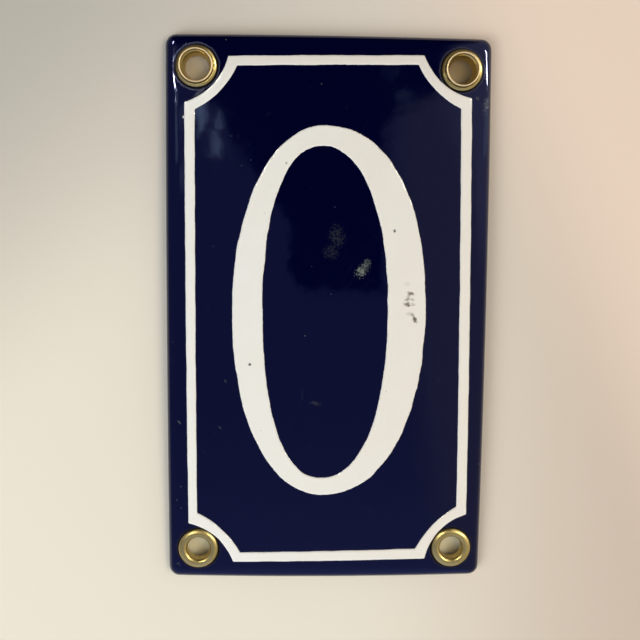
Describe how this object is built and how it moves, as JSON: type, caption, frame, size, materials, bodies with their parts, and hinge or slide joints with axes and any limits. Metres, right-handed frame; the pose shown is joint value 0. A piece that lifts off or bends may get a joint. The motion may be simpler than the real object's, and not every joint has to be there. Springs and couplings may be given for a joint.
{
  "type": "house number plaque",
  "caption": "Small domed enamelled steel house number plaque, navy blue with a white scoop-cornered border line and a white digit 0, with a brass eyelet in each corner.",
  "frame": {"origin": "centre of the wall plane under the plaque, where its rim rests", "axes": "+Z out of the face, away from the wall; +Y towards the top of the digit; +X towards its right side"},
  "size_m": [0.07, 0.119, 0.0059],
  "materials": {
    "blue_enamel": "gloss",
    "white_enamel": "gloss",
    "brass": "satin"
  },
  "bodies": {
    "root": {"enamelled_plate": "blue_enamel", "border_line": "white_enamel", "digit_zero": "white_enamel", "eyelet_top_left": "brass", "eyelet_top_right": "brass", "eyelet_bottom_left": "brass", "eyelet_bottom_right": "brass"}
  },
  "joints": []
}
